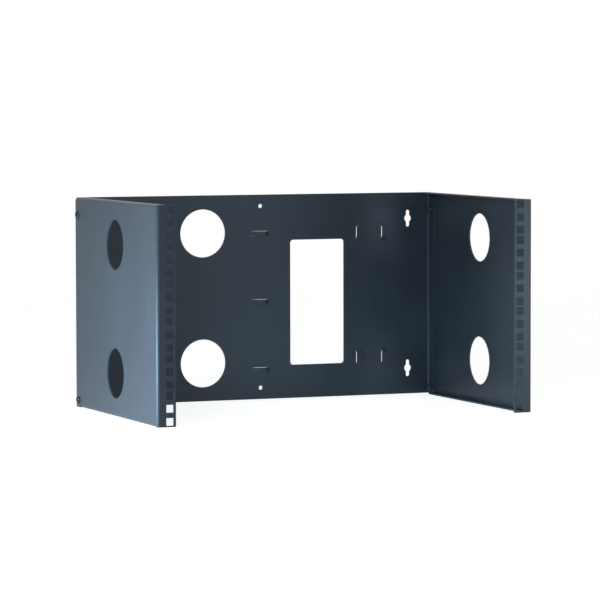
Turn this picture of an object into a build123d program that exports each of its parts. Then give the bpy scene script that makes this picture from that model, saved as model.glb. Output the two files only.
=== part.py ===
from build123d import *
import os

# Six unit wall bracket for 19 inch equipment: an open frame of three folded steel sheets.
# The back panel lies on the wall and its two forward flanges are screwed inside the side panels.
# Millimetres. +Z is up, the equipment goes in from -Y and the wall is at +Y.
# The origin is under the middle of the bracket, on the surface that it stands on.

# The whole bracket
UNITS = 6
UNIT_HEIGHT = 44.45
WIDTH = 498.0
DEPTH = 305.0
SHEET = 2.0
BEND_RADIUS = 2.0
SHEET_CORNER = 1.5

# Rails at the front, for 19 inch equipment: holes 465.1 apart beside an opening of 450
RAIL_WIDTH = 24.0
RACK_HOLE_INSET = 16.45
RACK_HOLE_SIZE = 9.5
RACK_HOLE_HEIGHTS = (6.35, 22.225, 38.1)

# Folds
TOP_RETURN = 14.0
BOTTOM_RETURN = 14.0
RETURN_CORNER = 5.0
CORNER_FLANGE = 19.0
RELIEF_SLOT = 1.0
FLANGE_CLEARANCE = 1.0

# Cable holes in the side panels
SIDE_HOLE_DIAMETER = 62.0
SIDE_HOLE_FROM_END = 53.95

# Cable holes and the box opening in the back panel
BACK_HOLE_DIAMETER = 62.0
BACK_HOLE_FROM_END = 49.1
BACK_HOLE_X = -75.2
BOX_OPENING_WIDTH = 76.0
BOX_OPENING_HEIGHT = 163.6
BOX_OPENING_CORNER = 4.0
BOX_OPENING_X = 84.6
BOX_OPENING_BELOW_MIDDLE = 8.05

# Cable tie bridges, pushed forward out of the back panel
BRIDGE_LENGTH = 24.0
BRIDGE_WIDTH = 6.6
BRIDGE_RISE = 3.2
BRIDGE_TOP = 12.0
BRIDGE_FOOT = 2.0
BRIDGE_BEND = 3.0
BRIDGE_SLIT = 0.2
CENTRE_COLUMN_X = 4.8
LEVEL_BRIDGE_UNITS = (0, 2, 4)
UPRIGHT_BRIDGES_FROM_SIDE = (105.3, 69.2)
UPRIGHT_BRIDGE_FROM_END = 50.85

# Holes for the wall screws
KEYHOLE_FROM_SIDE = 34.5
KEYHOLE_FROM_END = 34.1
KEYHOLE_LENGTH = 22.4
KEYHOLE_SLOT = 5.2
KEYHOLE_HEAD = 10.0
WALL_HOLE_DIAMETER = 5.5
WALL_HOLE_FROM_END = 14.8

# Corner screws and the clinch nuts that they turn in
SCREW_DIAMETER = 5.0
SCREW_LENGTH = 10.0
SCREW_HEAD_DIAMETER = 9.5
SCREW_HEAD_HEIGHT = 2.6
SCREW_HEAD_TAPER = 1.0
SCREW_RECESS_WIDTH = 1.2
SCREW_RECESS_SPAN = 5.0
SCREW_RECESS_DEPTH = 1.5
SCREW_HOLE_CLEARANCE = 0.5
SCREW_THREAD_GAP = 0.1
SCREW_BELOW_TOP = 22.0
SCREW_ABOVE_BOTTOM = 9.0
NUT_ACROSS_FLATS = 8.0
NUT_HEIGHT = 3.8
NUT_PILOT_DIAMETER = 6.8
NUT_PILOT_LENGTH = 1.6
NUT_PILOT_GAP = 0.1

# Worked out from the sizes above
HEIGHT = UNITS * UNIT_HEIGHT
MIDDLE_Z = HEIGHT / 2
OUTER_BEND = BEND_RADIUS + SHEET
OUTER_X = WIDTH / 2
INNER_X = OUTER_X - SHEET
FRONT_Y = -DEPTH / 2
WALL_Y = DEPTH / 2
PANEL_FRONT_Y = WALL_Y - SHEET
SIDE_REAR_Y = WALL_Y - OUTER_BEND
SIDE_MIDDLE_Y = (FRONT_Y + SIDE_REAR_Y) / 2
FLANGE_FRONT_Y = WALL_Y - CORNER_FLANGE
FLANGE_TOP_Z = HEIGHT - OUTER_BEND - FLANGE_CLEARANCE
RETURN_FRONT_Y = FRONT_Y + OUTER_BEND + RELIEF_SLOT
BOTTOM_RETURN_REAR_Y = FLANGE_FRONT_Y - FLANGE_CLEARANCE
NUT_FACE_X = INNER_X - SHEET
SCREW_Y = (FLANGE_FRONT_Y + SIDE_REAR_Y) / 2
SCREW_HEIGHTS = {"top": HEIGHT - SCREW_BELOW_TOP, "bottom": SCREW_ABOVE_BOTTOM}
LEFT_RACK_HOLES = [
    (-OUTER_X + RACK_HOLE_INSET, unit * UNIT_HEIGHT + height)
    for unit in range(UNITS)
    for height in RACK_HOLE_HEIGHTS
]

os.makedirs("parts", exist_ok=True)


def write(part, name):
    part.label = name
    export_step(part, f"parts/{name}.step")


# A wall screw keyhole that hangs either way up: a slot with a round hole at its middle
with BuildSketch() as keyhole:
    SlotOverall(KEYHOLE_LENGTH, KEYHOLE_SLOT, rotation=90)
    Circle(KEYHOLE_HEAD / 2)

# A cable tie bridge: its feet lie in the panel and its middle stands proud of the front face
with BuildPart() as bridge:
    half_length = BRIDGE_LENGTH / 2
    with BuildSketch(Plane.XZ):
        with BuildLine():
            FilletPolyline(
                (-half_length - BRIDGE_FOOT, 0),
                (-half_length, 0),
                (-BRIDGE_TOP / 2, BRIDGE_RISE),
                (BRIDGE_TOP / 2, BRIDGE_RISE),
                (half_length, 0),
                (half_length + BRIDGE_FOOT, 0),
                radius=BRIDGE_BEND,
            )
            offset(amount=SHEET, side=Side.RIGHT)
        make_face()
    extrude(amount=BRIDGE_WIDTH / 2, both=True)

# Level bridges stand in one column, in line with the upper hole of every other unit
level_bridge_planes = [
    Plane(
        (CENTRE_COLUMN_X, PANEL_FRONT_Y, unit * UNIT_HEIGHT + RACK_HOLE_HEIGHTS[-1]),
        x_dir=(1, 0, 0),
        z_dir=(0, -1, 0),
    )
    for unit in LEVEL_BRIDGE_UNITS
]
upright_bridge_planes = [
    Plane((OUTER_X - inset, PANEL_FRONT_Y, z), x_dir=(0, 0, 1), z_dir=(0, -1, 0))
    for inset in UPRIGHT_BRIDGES_FROM_SIDE
    for z in (UPRIGHT_BRIDGE_FROM_END, HEIGHT - UPRIGHT_BRIDGE_FROM_END)
]
bridge_planes = level_bridge_planes + upright_bridge_planes

# Back panel: one sheet folded forward at both sides, seen from above as a wide U
with BuildPart() as back_panel:
    with BuildSketch():
        with BuildLine():
            FilletPolyline(
                (-INNER_X, FLANGE_FRONT_Y),
                (-INNER_X, WALL_Y),
                (INNER_X, WALL_Y),
                (INNER_X, FLANGE_FRONT_Y),
                radius=OUTER_BEND,
            )
            offset(amount=SHEET, side=Side.RIGHT)
        make_face()
    extrude(amount=HEIGHT)
    # The flanges stop below the top returns of the side panels
    with BuildSketch(Plane.XY.offset(FLANGE_TOP_Z)):
        with GridLocations(2 * INNER_X - SHEET, 0, 2, 1):
            with Locations((0, SIDE_REAR_Y)):
                Rectangle(2 * SHEET, CORNER_FLANGE, align=(Align.CENTER, Align.MAX))
    extrude(amount=HEIGHT - FLANGE_TOP_Z, mode=Mode.SUBTRACT)
    # Cable holes, box opening and wall screw holes go through the sheet towards the wall
    with BuildSketch(Plane.XZ.offset(-PANEL_FRONT_Y)):
        with Locations((BACK_HOLE_X, MIDDLE_Z)):
            with GridLocations(0, HEIGHT - 2 * BACK_HOLE_FROM_END, 1, 2):
                Circle(BACK_HOLE_DIAMETER / 2)
        with Locations((BOX_OPENING_X, MIDDLE_Z - BOX_OPENING_BELOW_MIDDLE)):
            RectangleRounded(BOX_OPENING_WIDTH, BOX_OPENING_HEIGHT, BOX_OPENING_CORNER)
        with Locations((CENTRE_COLUMN_X, MIDDLE_Z)):
            with GridLocations(0, HEIGHT - 2 * WALL_HOLE_FROM_END, 1, 2):
                Circle(WALL_HOLE_DIAMETER / 2)
        with Locations((0, MIDDLE_Z)):
            with GridLocations(WIDTH - 2 * KEYHOLE_FROM_SIDE, HEIGHT - 2 * KEYHOLE_FROM_END, 2, 2):
                add(keyhole.sketch)
    extrude(amount=-SHEET, mode=Mode.SUBTRACT)
    # Each bridge stands over the window that it was cut from
    with BuildSketch(*bridge_planes):
        Rectangle(BRIDGE_LENGTH, BRIDGE_WIDTH + 2 * BRIDGE_SLIT)
    extrude(amount=-SHEET, mode=Mode.SUBTRACT)
    with Locations(*bridge_planes):
        add(bridge.part)
    # Holes in both flanges for the pilots of the clinch nuts
    with BuildSketch(Plane.YZ):
        with Locations(*[(SCREW_Y, z) for z in SCREW_HEIGHTS.values()]):
            Circle((NUT_PILOT_DIAMETER + NUT_PILOT_GAP) / 2)
    extrude(amount=OUTER_X, both=True, mode=Mode.SUBTRACT)
    free_corners = back_panel.edges().filter_by(Axis.X).group_by(Axis.Y)[0]
    fillet(free_corners, SHEET_CORNER)
write(back_panel.part, "back_panel")

# The fold along the top of the left side panel runs to its rear edge, over the corner flange
with BuildPart() as left_top_return:
    with BuildSketch(Plane.XZ.offset(-RETURN_FRONT_Y)):
        with BuildLine():
            FilletPolyline(
                (-OUTER_X, HEIGHT - 2 * OUTER_BEND),
                (-OUTER_X, HEIGHT),
                (-OUTER_X + TOP_RETURN, HEIGHT),
                radius=OUTER_BEND,
            )
            offset(amount=SHEET, side=Side.RIGHT)
        make_face()
    extrude(amount=RETURN_FRONT_Y - SIDE_REAR_Y)
    free_edge = left_top_return.faces().sort_by(Axis.X)[-1]
    fillet(free_edge.edges().filter_by(Axis.Z), RETURN_CORNER)

# The fold along its bottom ends in front of the corner flange
with BuildPart() as left_bottom_return:
    with BuildSketch(Plane.XZ.offset(-RETURN_FRONT_Y)):
        with BuildLine():
            FilletPolyline(
                (-OUTER_X, 2 * OUTER_BEND),
                (-OUTER_X, 0),
                (-OUTER_X + BOTTOM_RETURN, 0),
                radius=OUTER_BEND,
            )
            offset(amount=SHEET, side=Side.LEFT)
        make_face()
    extrude(amount=RETURN_FRONT_Y - BOTTOM_RETURN_REAR_Y)
    free_edge = left_bottom_return.faces().sort_by(Axis.X)[-1]
    fillet(free_edge.edges().filter_by(Axis.Z), RETURN_CORNER)

# Left side panel: the rail is folded inward at the front, the returns at the top and the bottom
with BuildPart() as left_side_panel:
    with BuildSketch():
        with BuildLine():
            FilletPolyline(
                (-OUTER_X + RAIL_WIDTH, FRONT_Y),
                (-OUTER_X, FRONT_Y),
                (-OUTER_X, SIDE_REAR_Y),
                radius=OUTER_BEND,
            )
            offset(amount=SHEET, side=Side.RIGHT)
        make_face()
    extrude(amount=HEIGHT)
    rail_edge = left_side_panel.faces().sort_by(Axis.X)[-1]
    fillet(rail_edge.edges().filter_by(Axis.Y), SHEET_CORNER)
    # The sheet is cut away where a return is folded, with a relief slot at its open ends
    with BuildSketch(Plane.YZ.offset(-OUTER_X)):
        with Locations((FRONT_Y + OUTER_BEND, HEIGHT)):
            Rectangle(
                SIDE_REAR_Y - FRONT_Y - OUTER_BEND,
                OUTER_BEND,
                align=(Align.MIN, Align.MAX),
            )
        with Locations((FRONT_Y + OUTER_BEND, 0)):
            Rectangle(
                BOTTOM_RETURN_REAR_Y + RELIEF_SLOT - FRONT_Y - OUTER_BEND,
                OUTER_BEND,
                align=(Align.MIN, Align.MIN),
            )
    extrude(amount=SHEET, mode=Mode.SUBTRACT)
    add(left_top_return.part)
    add(left_bottom_return.part)
    with BuildSketch(Plane.XZ.offset(-FRONT_Y)):
        with Locations(*LEFT_RACK_HOLES):
            Rectangle(RACK_HOLE_SIZE, RACK_HOLE_SIZE)
    extrude(amount=-SHEET, mode=Mode.SUBTRACT)
    with BuildSketch(Plane.YZ.offset(-OUTER_X)):
        with Locations((SIDE_MIDDLE_Y, MIDDLE_Z)):
            with GridLocations(0, HEIGHT - 2 * SIDE_HOLE_FROM_END, 1, 2):
                Circle(SIDE_HOLE_DIAMETER / 2)
        with Locations(*[(SCREW_Y, z) for z in SCREW_HEIGHTS.values()]):
            Circle((SCREW_DIAMETER + SCREW_HOLE_CLEARANCE) / 2)
    extrude(amount=SHEET, mode=Mode.SUBTRACT)
write(left_side_panel.part, "left_side_panel")

# Right side panel: the left one in the mirror
with BuildPart() as right_side_panel:
    mirror(left_side_panel.part, about=Plane.YZ)
write(right_side_panel.part, "right_side_panel")

# A corner screw points down, with the underside of its tapered head at the origin
with BuildPart() as screw:
    Cone(
        SCREW_HEAD_DIAMETER / 2,
        SCREW_HEAD_DIAMETER / 2 - SCREW_HEAD_TAPER,
        SCREW_HEAD_HEIGHT,
        align=(Align.CENTER, Align.CENTER, Align.MIN),
    )
    Cylinder(
        (SCREW_DIAMETER - SCREW_THREAD_GAP) / 2,
        SCREW_LENGTH,
        align=(Align.CENTER, Align.CENTER, Align.MAX),
    )
    with BuildSketch(Plane.XY.offset(SCREW_HEAD_HEIGHT)):
        Rectangle(SCREW_RECESS_SPAN, SCREW_RECESS_WIDTH)
        Rectangle(SCREW_RECESS_WIDTH, SCREW_RECESS_SPAN)
    extrude(amount=-SCREW_RECESS_DEPTH, mode=Mode.SUBTRACT)

# A six-sided clinch nut points down too: its seat is at the origin and its pilot is above
with BuildPart() as nut:
    with BuildSketch():
        RegularPolygon(NUT_ACROSS_FLATS / 2, 6, major_radius=False)
    extrude(amount=-NUT_HEIGHT)
    Cylinder(
        NUT_PILOT_DIAMETER / 2,
        NUT_PILOT_LENGTH,
        align=(Align.CENTER, Align.CENTER, Align.MIN),
    )
    with Locations((0, 0, NUT_PILOT_LENGTH)):
        Hole(SCREW_DIAMETER / 2)

# One screw and one nut at the top and at the bottom of each rear corner
for side, outward in (("left", -1), ("right", 1)):
    for level, height in SCREW_HEIGHTS.items():
        head_plane = Plane((outward * OUTER_X, SCREW_Y, height), z_dir=(outward, 0, 0))
        nut_plane = Plane((outward * NUT_FACE_X, SCREW_Y, height), z_dir=(outward, 0, 0))
        with BuildPart() as placed_screw:
            with Locations(head_plane):
                add(screw.part)
        write(placed_screw.part, f"corner_screw_{side}_{level}")
        with BuildPart() as placed_nut:
            with Locations(nut_plane):
                add(nut.part)
        write(placed_nut.part, f"clinch_nut_{side}_{level}")
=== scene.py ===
"""The looks of a wall mount open frame rack: dark slate powder coat on folded steel sheet, black corner
screws with real threads, a pale studio floor, soft lamps and a long camera in front and to the left."""
import math

import bpy
import numpy as np
from mathutils import Matrix, Vector

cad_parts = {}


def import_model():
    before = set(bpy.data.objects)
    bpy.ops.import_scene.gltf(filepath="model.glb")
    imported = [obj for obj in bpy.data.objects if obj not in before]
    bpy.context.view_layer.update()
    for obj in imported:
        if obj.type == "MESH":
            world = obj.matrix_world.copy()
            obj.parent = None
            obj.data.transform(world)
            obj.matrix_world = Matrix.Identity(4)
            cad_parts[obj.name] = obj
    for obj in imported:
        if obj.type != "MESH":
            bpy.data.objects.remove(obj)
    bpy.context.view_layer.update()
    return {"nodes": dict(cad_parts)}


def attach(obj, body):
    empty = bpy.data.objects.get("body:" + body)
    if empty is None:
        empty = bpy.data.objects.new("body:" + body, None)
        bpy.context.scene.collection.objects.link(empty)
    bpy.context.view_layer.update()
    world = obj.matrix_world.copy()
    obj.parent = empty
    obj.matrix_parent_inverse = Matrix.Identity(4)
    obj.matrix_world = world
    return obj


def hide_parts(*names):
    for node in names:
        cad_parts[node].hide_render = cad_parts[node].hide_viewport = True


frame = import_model()

MM = 0.001

# Camera, as worked out from the corners and holes of the bracket in the photograph
CAMERA_TURN = math.radians(22.3)
CAMERA_DROP = math.radians(3.594)
CAMERA_ROLL = math.radians(-0.098)
CAMERA_DISTANCE = 4.4333
CAMERA_TARGET = Vector((0.0, -0.0025, 0.13335))
CAMERA_RIGHT_SHIFT = -0.002292
CAMERA_UP_SHIFT = 0.005035
CAMERA_SENSOR = 36.0
PHOTO_WIDTH = 600
CAMERA_FOCAL_PIXELS = 3515.0
CAMERA_LENS = CAMERA_FOCAL_PIXELS / PHOTO_WIDTH * CAMERA_SENSOR
CAMERA_REACH = 50

# Powder coat
COAT_COLOUR = (0.023, 0.030, 0.038, 1)
COAT_PALE = (0.028, 0.036, 0.045, 1)
# Paler colour of the sharp edges: partly a thinner coat there and partly a painted highlight
EDGE_COLOUR_AND_HIGHLIGHT = (0.036, 0.046, 0.057, 1)
COAT_GLOSS_TINT = (0.72, 0.87, 1.0, 1)
COAT_GLOSS = 0.34
COAT_ROUGHNESS = 0.42
COAT_ROUGHNESS_SPREAD = (-0.03, 0.04)
PIT_ROUGHNESS = (-0.02, 0.03)
PEEL_SIZE = 0.9 * MM
PEEL_HEIGHT = 0.02 * MM
SWELL_SCALE = 0.22
SWELL_SHARE = 1.6
MOTTLE_SIZE = 45 * MM
MOTTLE_STRETCH = (1.0, 1.0, 0.55)
# Width, strength and samples of the paler edges, a thinner coat plus a painted highlight
EDGE_RADIUS = 0.45 * MM
EDGE_GAIN = 3.0
EDGE_SAMPLES = 6

# The part of a noise value's range that most of a surface lies in, and a narrower one
NOISE_RANGE = (0.3, 0.7)
NARROW_NOISE_RANGE = (0.35, 0.65)

# Corner screws: a pan head with a cross recess, and a rolled thread down to a chamfered tip
SCREW_COLOUR = (0.016, 0.018, 0.021, 1)
SCREW_ROUGHNESS = 0.36
SCREW_ROUGHNESS_SPREAD = (-0.05, 0.08)
SCREW_METALLIC = 0.35
SCREW_MOTTLE_SIZE = 2.0 * MM
SCREW_EDGE_RADIUS = 0.2 * MM
HEAD_ROUNDNESS = 2.7
HEAD_RINGS = 44
RECESS_SPAN = 5.2 * MM
RECESS_WIDTH = 1.15 * MM
RECESS_DEPTH = 1.6 * MM
RECESS_WALL = 0.22 * MM
RECESS_END_RISE = 0.55
SHANK_DIAMETER = 4.9 * MM
SHANK_LENGTH = 10.0 * MM
THREAD_PITCH = 0.8 * MM
THREAD_DEPTH = 0.4 * MM
THREAD_RINGS_PER_PITCH = 8
TIP_LENGTH = 0.7 * MM
SCREW_SEGMENTS = 96

# Floor: where its shadow starts to fade and has gone, and how much of its white needs no lamp
SHADOW_REACH = (1.1, 3.2)
FLOOR_GLOW = 0.8
FLOOR_COLOUR = (0.8, 0.8, 0.8, 1)
FLOOR_ROUGHNESS = 0.9
FLOOR_REACH = 30.0

# Studio light. Each lamp has a name, its place, the point it faces, its size, watts and colour
WORLD_LIGHT = 0.22
LAMPS = (
    ("left front softbox", (-1.6, -2.2, 0.9), (0, 0, 0.13), (1.4, 1.2), 24, (0.72, 0.88, 1.0)),
    ("low left strip", (-0.6, -0.12, 0.05), (-0.25, -0.12, 0.05), (0.3, 0.08), 5.0, (0.60, 0.82, 1.0)),
    ("right rail light", (0.5, -0.55, 0.15), (0.2, -0.05, 0.13), (0.16, 0.24), 0.92, (0.92, 0.96, 1.0)),
    ("low right light", (-0.05, -0.2, 0.04), (0.245, -0.17, 0.035), (0.1, 0.06), 0.6, (0.50, 0.78, 1.0)),
)
FLAG_COLOUR = (0.01, 0.01, 0.01, 1)
FLAG_FRONT_CORNER = (-0.36, 0.1, 0.0)
FLAG_REAR_CORNER = (-0.58, 0.8, 0.7)


def socket(group, name, kind, in_out, value=None):
    """Adds one named input or output to a shader node group."""
    made = group.interface.new_socket(name=name, in_out=in_out, socket_type=kind)
    if value is not None:
        made.default_value = value


def new_group(name, inputs, outputs):
    """A shader node group with its input and output nodes, from lists of (name, kind, value)."""
    group = bpy.data.node_groups.new(name, "ShaderNodeTree")
    for label, kind, value in inputs:
        socket(group, label, kind, "INPUT", value)
    for label, kind in outputs:
        socket(group, label, kind, "OUTPUT")
    return group, group.nodes.new("NodeGroupInput"), group.nodes.new("NodeGroupOutput")


def math_node(tree, operation, first, second=None, clamp=False):
    """A math node fed by sockets or plain numbers; returns its output."""
    node = tree.nodes.new("ShaderNodeMath")
    node.operation = operation
    node.use_clamp = clamp
    for slot, value in zip(node.inputs, (first, second)):
        if isinstance(value, bpy.types.NodeSocket):
            tree.links.new(value, slot)
        elif value is not None:
            slot.default_value = value
    return node.outputs[0]


def noise(tree, vector, scale, detail, roughness=0.5):
    """Noise in three dimensions from a vector socket; scale is a number or a socket."""
    node = tree.nodes.new("ShaderNodeTexNoise")
    tree.links.new(vector, node.inputs["Vector"])
    node.inputs["Detail"].default_value = detail
    node.inputs["Roughness"].default_value = roughness
    if isinstance(scale, bpy.types.NodeSocket):
        tree.links.new(scale, node.inputs["Scale"])
    else:
        node.inputs["Scale"].default_value = scale
    return node.outputs["Fac"]


def powder_peel_group():
    """Orange peel of a powder coat: two octaves of soft noise as a height, and a mask of its pits."""
    group, enter, leave = new_group(
        "powder peel",
        [("Size", "NodeSocketFloat", PEEL_SIZE)],
        [("Height", "NodeSocketFloat"), ("Pits", "NodeSocketFloat")],
    )
    place = group.nodes.new("ShaderNodeTexCoord").outputs["Object"]
    scale = math_node(group, "DIVIDE", 1.0, enter.outputs["Size"])
    peel = noise(group, place, scale, detail=1.5, roughness=0.45)
    swell_scale = math_node(group, "MULTIPLY", scale, SWELL_SCALE)
    swell = noise(group, place, swell_scale, detail=1.0, roughness=0.4)
    height = math_node(group, "ADD", peel, math_node(group, "MULTIPLY", swell, SWELL_SHARE))
    group.links.new(height, leave.inputs["Height"])
    pits = math_node(group, "SUBTRACT", 1.0, peel)
    group.links.new(pits, leave.inputs["Pits"])
    return group


def coat_mottle_group():
    """Slow, faint variation of a sprayed coat over a few centimetres, stretched along the height."""
    group, enter, leave = new_group(
        "coat mottle",
        [("Size", "NodeSocketFloat", MOTTLE_SIZE)],
        [("Mask", "NodeSocketFloat")],
    )
    place = group.nodes.new("ShaderNodeTexCoord").outputs["Object"]
    stretch = group.nodes.new("ShaderNodeMapping")
    stretch.inputs["Scale"].default_value = MOTTLE_STRETCH
    group.links.new(place, stretch.inputs["Vector"])
    scale = math_node(group, "DIVIDE", 1.0, enter.outputs["Size"])
    mask = noise(group, stretch.outputs["Vector"], scale, detail=3.0, roughness=0.5)
    group.links.new(mask, leave.inputs["Mask"])
    return group


def pale_edge_and_highlight_group():
    """Mask of the sharp outer edges, which show paler, partly as a thinner coat and partly as a
    painted highlight: one less the agreement between the true normal and the normal rounded over the edge."""
    group, enter, leave = new_group(
        "pale edge and highlight",
        [("Radius", "NodeSocketFloat", EDGE_RADIUS)],
        [("Mask", "NodeSocketFloat"), ("Rounded", "NodeSocketVector")],
    )
    rounded = group.nodes.new("ShaderNodeBevel")
    rounded.samples = EDGE_SAMPLES
    group.links.new(enter.outputs["Radius"], rounded.inputs["Radius"])
    true_normal = group.nodes.new("ShaderNodeNewGeometry").outputs["Normal"]
    agree = group.nodes.new("ShaderNodeVectorMath")
    agree.operation = "DOT_PRODUCT"
    group.links.new(rounded.outputs["Normal"], agree.inputs[0])
    group.links.new(true_normal, agree.inputs[1])
    bend = math_node(group, "SUBTRACT", 1.0, agree.outputs["Value"])
    group.links.new(math_node(group, "MULTIPLY", bend, EDGE_GAIN, clamp=True), leave.inputs["Mask"])
    group.links.new(rounded.outputs["Normal"], leave.inputs["Rounded"])
    return group


PEEL = powder_peel_group()
MOTTLE = coat_mottle_group()
PALE_EDGE_AND_HIGHLIGHT = pale_edge_and_highlight_group()


def place_group(tree, group, **values):
    """A group node in a material, with its own input values."""
    node = tree.nodes.new("ShaderNodeGroup")
    node.node_tree = group
    for name, value in values.items():
        node.inputs[name].default_value = value
    return node


def mix_colour(tree, mask, first, second):
    """Goes from the first colour to the second with the mask; colours are sockets or values. A mix
    node's colour sockets come after those for numbers and vectors, which have the same names."""
    node = tree.nodes.new("ShaderNodeMix")
    node.data_type = "RGBA"
    tree.links.new(mask, node.inputs["Factor"])
    for slot, value in ((node.inputs[6], first), (node.inputs[7], second)):
        if isinstance(value, bpy.types.NodeSocket):
            tree.links.new(value, slot)
        else:
            slot.default_value = value
    return node.outputs[2]


def span(tree, value, low, high, to_low, to_high):
    """Maps a value from one range to another, clamped."""
    node = tree.nodes.new("ShaderNodeMapRange")
    tree.links.new(value, node.inputs["Value"])
    for name, number in (
        ("From Min", low),
        ("From Max", high),
        ("To Min", to_low),
        ("To Max", to_high),
    ):
        node.inputs[name].default_value = number
    return node.outputs["Result"]


def bump(tree, height, distance, normal=None):
    """A bump of a real height in metres over a normal."""
    node = tree.nodes.new("ShaderNodeBump")
    node.inputs["Distance"].default_value = distance
    tree.links.new(height, node.inputs["Height"])
    if normal is not None:
        tree.links.new(normal, node.inputs["Normal"])
    return node.outputs["Normal"]


def new_material(name):
    """A material with an empty tree holding a Principled shader, and that shader."""
    material = bpy.data.materials.new(name)
    material.use_nodes = True
    tree = material.node_tree
    tree.nodes.clear()
    shader = tree.nodes.new("ShaderNodeBsdfPrincipled")
    leave = tree.nodes.new("ShaderNodeOutputMaterial")
    tree.links.new(shader.outputs["BSDF"], leave.inputs["Surface"])
    return material, tree, shader


def powder_coat():
    """Semi-gloss slate powder coat over steel: a dark dielectric with orange peel, faint mottle and
    paler sharp edges, partly a thinner coating and partly a painted highlight."""
    material, tree, shader = new_material("slate powder coat")
    shader.inputs["Specular IOR Level"].default_value = COAT_GLOSS
    shader.inputs["Specular Tint"].default_value = COAT_GLOSS_TINT
    peel = place_group(tree, PEEL, Size=PEEL_SIZE)
    mottle = place_group(tree, MOTTLE, Size=MOTTLE_SIZE)
    edge = place_group(tree, PALE_EDGE_AND_HIGHLIGHT, Radius=EDGE_RADIUS)
    patch = span(tree, mottle.outputs["Mask"], *NARROW_NOISE_RANGE, 0.0, 1.0)
    body = mix_colour(tree, patch, COAT_COLOUR, COAT_PALE)
    # Sharp edges go toward the paler edge colour: a thinner coat plus a painted highlight
    tree.links.new(mix_colour(tree, edge.outputs["Mask"], body, EDGE_COLOUR_AND_HIGHLIGHT), shader.inputs["Base Color"])
    smoothest, roughest = (COAT_ROUGHNESS + change for change in COAT_ROUGHNESS_SPREAD)
    rough = math_node(
        tree,
        "ADD",
        span(tree, mottle.outputs["Mask"], *NOISE_RANGE, smoothest, roughest),
        span(tree, peel.outputs["Pits"], *NOISE_RANGE, *PIT_ROUGHNESS),
    )
    tree.links.new(rough, shader.inputs["Roughness"])
    normal = bump(tree, peel.outputs["Height"], PEEL_HEIGHT, edge.outputs["Rounded"])
    tree.links.new(normal, shader.inputs["Normal"])
    return material


def black_screw():
    """Black oxide on a steel screw: near black, a little metallic, smoother than the coat."""
    material, tree, shader = new_material("black oxide screw")
    shader.inputs["Metallic"].default_value = SCREW_METALLIC
    mottle = place_group(tree, MOTTLE, Size=SCREW_MOTTLE_SIZE)
    edge = place_group(tree, PALE_EDGE_AND_HIGHLIGHT, Radius=SCREW_EDGE_RADIUS)
    patch = span(tree, mottle.outputs["Mask"], *NOISE_RANGE, 0.0, 1.0)
    body = mix_colour(tree, patch, SCREW_COLOUR, COAT_COLOUR)
    # The screw's sharp edges go paler with the same mask, partly thinner finish and partly a painted
    # highlight
    tree.links.new(mix_colour(tree, edge.outputs["Mask"], body, EDGE_COLOUR_AND_HIGHLIGHT), shader.inputs["Base Color"])
    smoothest, roughest = (SCREW_ROUGHNESS + change for change in SCREW_ROUGHNESS_SPREAD)
    rough = span(tree, mottle.outputs["Mask"], *NOISE_RANGE, smoothest, roughest)
    tree.links.new(rough, shader.inputs["Roughness"])
    tree.links.new(edge.outputs["Rounded"], shader.inputs["Normal"])
    return material


def dress(node, material):
    """Puts one material on a CAD node, in place of what it came with."""
    mesh = frame["nodes"][node].data
    mesh.materials.clear()
    mesh.materials.append(material)


COAT = powder_coat()
SCREW = black_screw()
for name in frame["nodes"]:
    dress(name, SCREW if name.startswith("corner_screw") else COAT)


def node_points(node):
    """The corners of a CAD node's mesh as one array."""
    mesh = frame["nodes"][node].data
    points = np.empty(len(mesh.vertices) * 3)
    mesh.vertices.foreach_get("co", points)
    return points.reshape(-1, 3)


def turned_piece(name, radius, height, side, place, material):
    """A closed shape turned about an axis along X. Radius and height are grids of rows along the
    profile by columns round the axis; the first and last rows shrink to one point each. A point of
    the grid lies radius from the axis at its column's angle, and height along the axis outwards."""
    rows, columns = radius.shape
    angle = np.linspace(0, 2 * math.pi, columns, endpoint=False)
    along = side * height
    across = side * radius * np.cos(angle)
    up = radius * np.sin(angle)
    grid = np.stack([along, across, up], axis=-1) + place
    inner = grid[1:-1].reshape(-1, 3)
    points = np.vstack([grid[0].mean(axis=0), inner, grid[-1].mean(axis=0)])
    column = np.arange(columns)
    following = (column + 1) % columns
    row = np.arange(rows - 3)[:, None] * columns + 1
    next_row = row + columns
    quads = np.stack([row + column, next_row + column, next_row + following, row + following], axis=-1)
    last = len(points) - 1
    start = last - columns
    first_fan = np.stack([np.zeros(columns, int), 1 + column, 1 + following], axis=-1)
    last_fan = np.stack([np.full(columns, last), start + following, start + column], axis=-1)
    faces = first_fan.tolist() + quads.reshape(-1, 4).tolist() + last_fan.tolist()
    mesh = bpy.data.meshes.new(name)
    mesh.from_pydata(points.tolist(), [], faces)
    mesh.materials.append(material)
    mesh.shade_smooth()
    made = bpy.data.objects.new(name, mesh)
    bpy.context.scene.collection.objects.link(made)
    return made


def soft_step(distance, width):
    """Goes from 0 to 1 as a distance goes from half a width below zero to half a width above it."""
    t = np.clip(distance / width + 0.5, 0, 1)
    return t * t * (3 - 2 * t)


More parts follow.
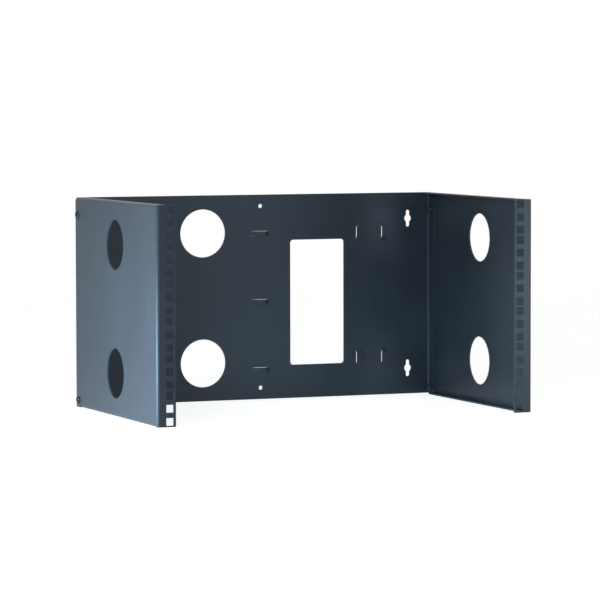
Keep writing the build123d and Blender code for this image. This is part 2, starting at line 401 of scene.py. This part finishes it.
def head_rows(head_radius, head_height):
    """Pan head from its middle out to its rim. The height is the head's height times the root n of
    one less the n-th power of radius over head radius, less the recess: a cross of two bars whose
    walls slope over RECESS_WALL and whose floor rises towards the ends of the bars."""
    angle = np.linspace(0, 2 * math.pi, SCREW_SEGMENTS, endpoint=False)
    ring = np.sin(np.linspace(0, 1, HEAD_RINGS)[:, None] * math.pi / 2)
    radius = head_radius * ring * np.ones_like(angle)
    dome = head_height * (1 - np.clip(ring, 0, 1) ** HEAD_ROUNDNESS) ** (1 / HEAD_ROUNDNESS)
    across = np.abs(radius * np.cos(angle))
    up = np.abs(radius * np.sin(angle))
    inside = 0
    for far, near in ((across, up), (up, across)):
        within_width = soft_step(RECESS_WIDTH / 2 - near, RECESS_WALL)
        within_span = soft_step(RECESS_SPAN / 2 - far, RECESS_WALL)
        floor_rise = RECESS_END_RISE * far / (RECESS_SPAN / 2)
        inside = np.maximum(inside, within_width * within_span * (1 - floor_rise))
    return radius, dome - RECESS_DEPTH * inside


def thread_rows():
    """Rolled thread from under the head to the tip. The radius is the shank's less a triangle wave,
    one pitch long, of the distance along the axis minus the pitch for each turn of the angle; the
    thread starts gently under the head, and over the tip the radius shrinks in a straight line."""
    turn = np.linspace(0, 1, SCREW_SEGMENTS, endpoint=False)
    count = int(round(SHANK_LENGTH / THREAD_PITCH * THREAD_RINGS_PER_PITCH))
    depth = np.linspace(0, SHANK_LENGTH, count + 1)[:, None]
    phase = (depth / THREAD_PITCH - turn) % 1.0
    valley = 1 - np.abs(2 * phase - 1)
    start = np.clip(depth / THREAD_PITCH, 0, 1)
    radius = SHANK_DIAMETER / 2 - THREAD_DEPTH * valley * start
    tip = np.clip((depth - (SHANK_LENGTH - TIP_LENGTH)) / TIP_LENGTH, 0, 1)
    radius = radius - tip * THREAD_DEPTH * (1 - valley * start)
    return radius, -depth * np.ones_like(turn)


def corner_screw(node):
    """A pan head screw in place of the plain one in the solids: head, underside, thread and tip."""
    points = node_points(node)
    low, high = points.min(axis=0), points.max(axis=0)
    side = math.copysign(1, low[0] + high[0])
    outer = max(abs(low[0]), abs(high[0]))
    inner = min(abs(low[0]), abs(high[0]))
    seat = inner + SHANK_LENGTH
    place = np.array([side * seat, (low[1] + high[1]) / 2, (low[2] + high[2]) / 2])
    head_radius, head_height = head_rows((high[1] - low[1]) / 2, outer - seat)
    shank_radius, shank_height = thread_rows()
    end = np.zeros((1, SCREW_SEGMENTS))
    radius = np.vstack([head_radius, shank_radius, end])
    height = np.vstack([head_height, shank_height, end - SHANK_LENGTH])
    piece = turned_piece(f"pan_head_{node}", radius, height, side, place, SCREW)
    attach(piece, "root")
    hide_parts(node)


for name in frame["nodes"]:
    if name.startswith("corner_screw"):
        corner_screw(name)


def camera():
    """A long lens whose axis is given by its turn about the vertical and its drop below level."""
    axis = Vector((
        math.sin(CAMERA_TURN) * math.cos(CAMERA_DROP),
        math.cos(CAMERA_TURN) * math.cos(CAMERA_DROP),
        -math.sin(CAMERA_DROP),
    ))
    right = Vector((math.cos(CAMERA_TURN), -math.sin(CAMERA_TURN), 0))
    up = right.cross(axis)
    target = CAMERA_TARGET + right * CAMERA_RIGHT_SHIFT + up * CAMERA_UP_SHIFT
    data = bpy.data.cameras.new("camera")
    data.lens = CAMERA_LENS
    data.sensor_width = CAMERA_SENSOR
    data.clip_end = CAMERA_REACH
    made = bpy.data.objects.new("camera", data)
    turn = axis.to_track_quat("-Z", "Y").to_matrix() @ Matrix.Rotation(CAMERA_ROLL, 3, "Z")
    made.matrix_world = Matrix.Translation(target - axis * CAMERA_DISTANCE) @ turn.to_4x4()
    bpy.context.scene.collection.objects.link(made)
    bpy.context.scene.camera = made


def lamp(name, place, aim, size, power, colour):
    """A soft rectangular lamp that faces a point and doesn't show in the picture."""
    data = bpy.data.lights.new(name, "AREA")
    data.shape = "RECTANGLE"
    data.size, data.size_y = size
    data.energy = power
    data.color = colour
    made = bpy.data.objects.new(name, data)
    made.location = place
    made.visible_camera = False
    made.rotation_mode = "QUATERNION"
    made.rotation_quaternion = (Vector(aim) - Vector(place)).to_track_quat("-Z", "Y")
    bpy.context.scene.collection.objects.link(made)


def flag(name, low, high):
    """An upright black card from a low corner to a high one, which only darkens what the coat
    mirrors: it doesn't show in the picture, hold back light or cast a shadow."""
    (low_x, low_y, bottom), (high_x, high_y, top) = low, high
    corners = [(low_x, low_y, bottom), (high_x, high_y, bottom), (high_x, high_y, top), (low_x, low_y, top)]
    mesh = bpy.data.meshes.new(name)
    mesh.from_pydata(corners, [], [(0, 1, 2, 3)])
    material, _, shader = new_material(name)
    shader.inputs["Base Color"].default_value = FLAG_COLOUR
    shader.inputs["Specular IOR Level"].default_value = 0.0
    mesh.materials.append(material)
    made = bpy.data.objects.new(name, mesh)
    made.visible_camera = False
    made.visible_diffuse = False
    made.visible_shadow = False
    bpy.context.scene.collection.objects.link(made)


def seen_rays(tree):
    """One for camera, glossy and transmission rays, which see the studio itself, and zero for the
    diffuse rays that only carry its light."""
    path = tree.nodes.new("ShaderNodeLightPath")
    glossy = path.outputs["Is Glossy Ray"]
    through = path.outputs["Is Transmission Ray"]
    mirrored = math_node(tree, "MAXIMUM", glossy, through)
    return math_node(tree, "MAXIMUM", path.outputs["Is Camera Ray"], mirrored)


def floor_white():
    """White floor. Near the object what is seen is a glow plus the lit surface, so the object keeps
    its shadow; the share of glow grows with the distance from the middle until it is all glow."""
    material, tree, lit = new_material("white floor")
    lit.inputs["Base Color"].default_value = FLOOR_COLOUR
    lit.inputs["Roughness"].default_value = FLOOR_ROUGHNESS
    lit.inputs["Specular IOR Level"].default_value = 0.0
    away = tree.nodes.new("ShaderNodeVectorMath")
    away.operation = "LENGTH"
    tree.links.new(tree.nodes.new("ShaderNodeTexCoord").outputs["Object"], away.inputs[0])
    far = span(tree, away.outputs["Value"], *SHADOW_REACH, 0.0, 1.0)
    glow = tree.nodes.new("ShaderNodeEmission")
    tree.links.new(span(tree, far, 0.0, 1.0, FLOOR_GLOW, 1.0), glow.inputs["Strength"])
    shown = tree.nodes.new("ShaderNodeAddShader")
    tree.links.new(glow.outputs["Emission"], shown.inputs[0])
    fading = tree.nodes.new("ShaderNodeMixShader")
    tree.links.new(far, fading.inputs[0])
    tree.links.new(lit.outputs["BSDF"], fading.inputs[1])
    tree.links.new(fading.outputs["Shader"], shown.inputs[1])
    chosen = tree.nodes.new("ShaderNodeMixShader")
    tree.links.new(seen_rays(tree), chosen.inputs[0])
    tree.links.new(lit.outputs["BSDF"], chosen.inputs[1])
    tree.links.new(shown.outputs["Shader"], chosen.inputs[2])
    tree.links.new(chosen.outputs["Shader"], tree.nodes["Material Output"].inputs["Surface"])
    return material


def floor():
    """A flat floor far wider than the picture."""
    mesh = bpy.data.meshes.new("floor")
    corners = [(FLOOR_REACH * x, FLOOR_REACH * y, 0) for x, y in ((-1, -1), (1, -1), (1, 1), (-1, 1))]
    mesh.from_pydata(corners, [], [(0, 1, 2, 3)])
    made = bpy.data.objects.new("floor", mesh)
    bpy.context.scene.collection.objects.link(made)
    mesh.materials.append(floor_white())


def world():
    """Even surroundings: white where they are seen or mirrored, softer as light."""
    made = bpy.data.worlds.new("studio")
    bpy.context.scene.world = made
    made.use_nodes = True
    tree = made.node_tree
    tree.nodes.clear()
    back = tree.nodes.new("ShaderNodeBackground")
    back.inputs["Color"].default_value = (1, 1, 1, 1)
    leave = tree.nodes.new("ShaderNodeOutputWorld")
    strength = span(tree, seen_rays(tree), 0.0, 1.0, WORLD_LIGHT, 1.0)
    tree.links.new(strength, back.inputs["Strength"])
    tree.links.new(back.outputs["Background"], leave.inputs["Surface"])


camera()
floor()
world()
for one_lamp in LAMPS:
    lamp(*one_lamp)
flag("left rear flag", FLAG_FRONT_CORNER, FLAG_REAR_CORNER)

bpy.context.scene.view_settings.view_transform = "Standard"
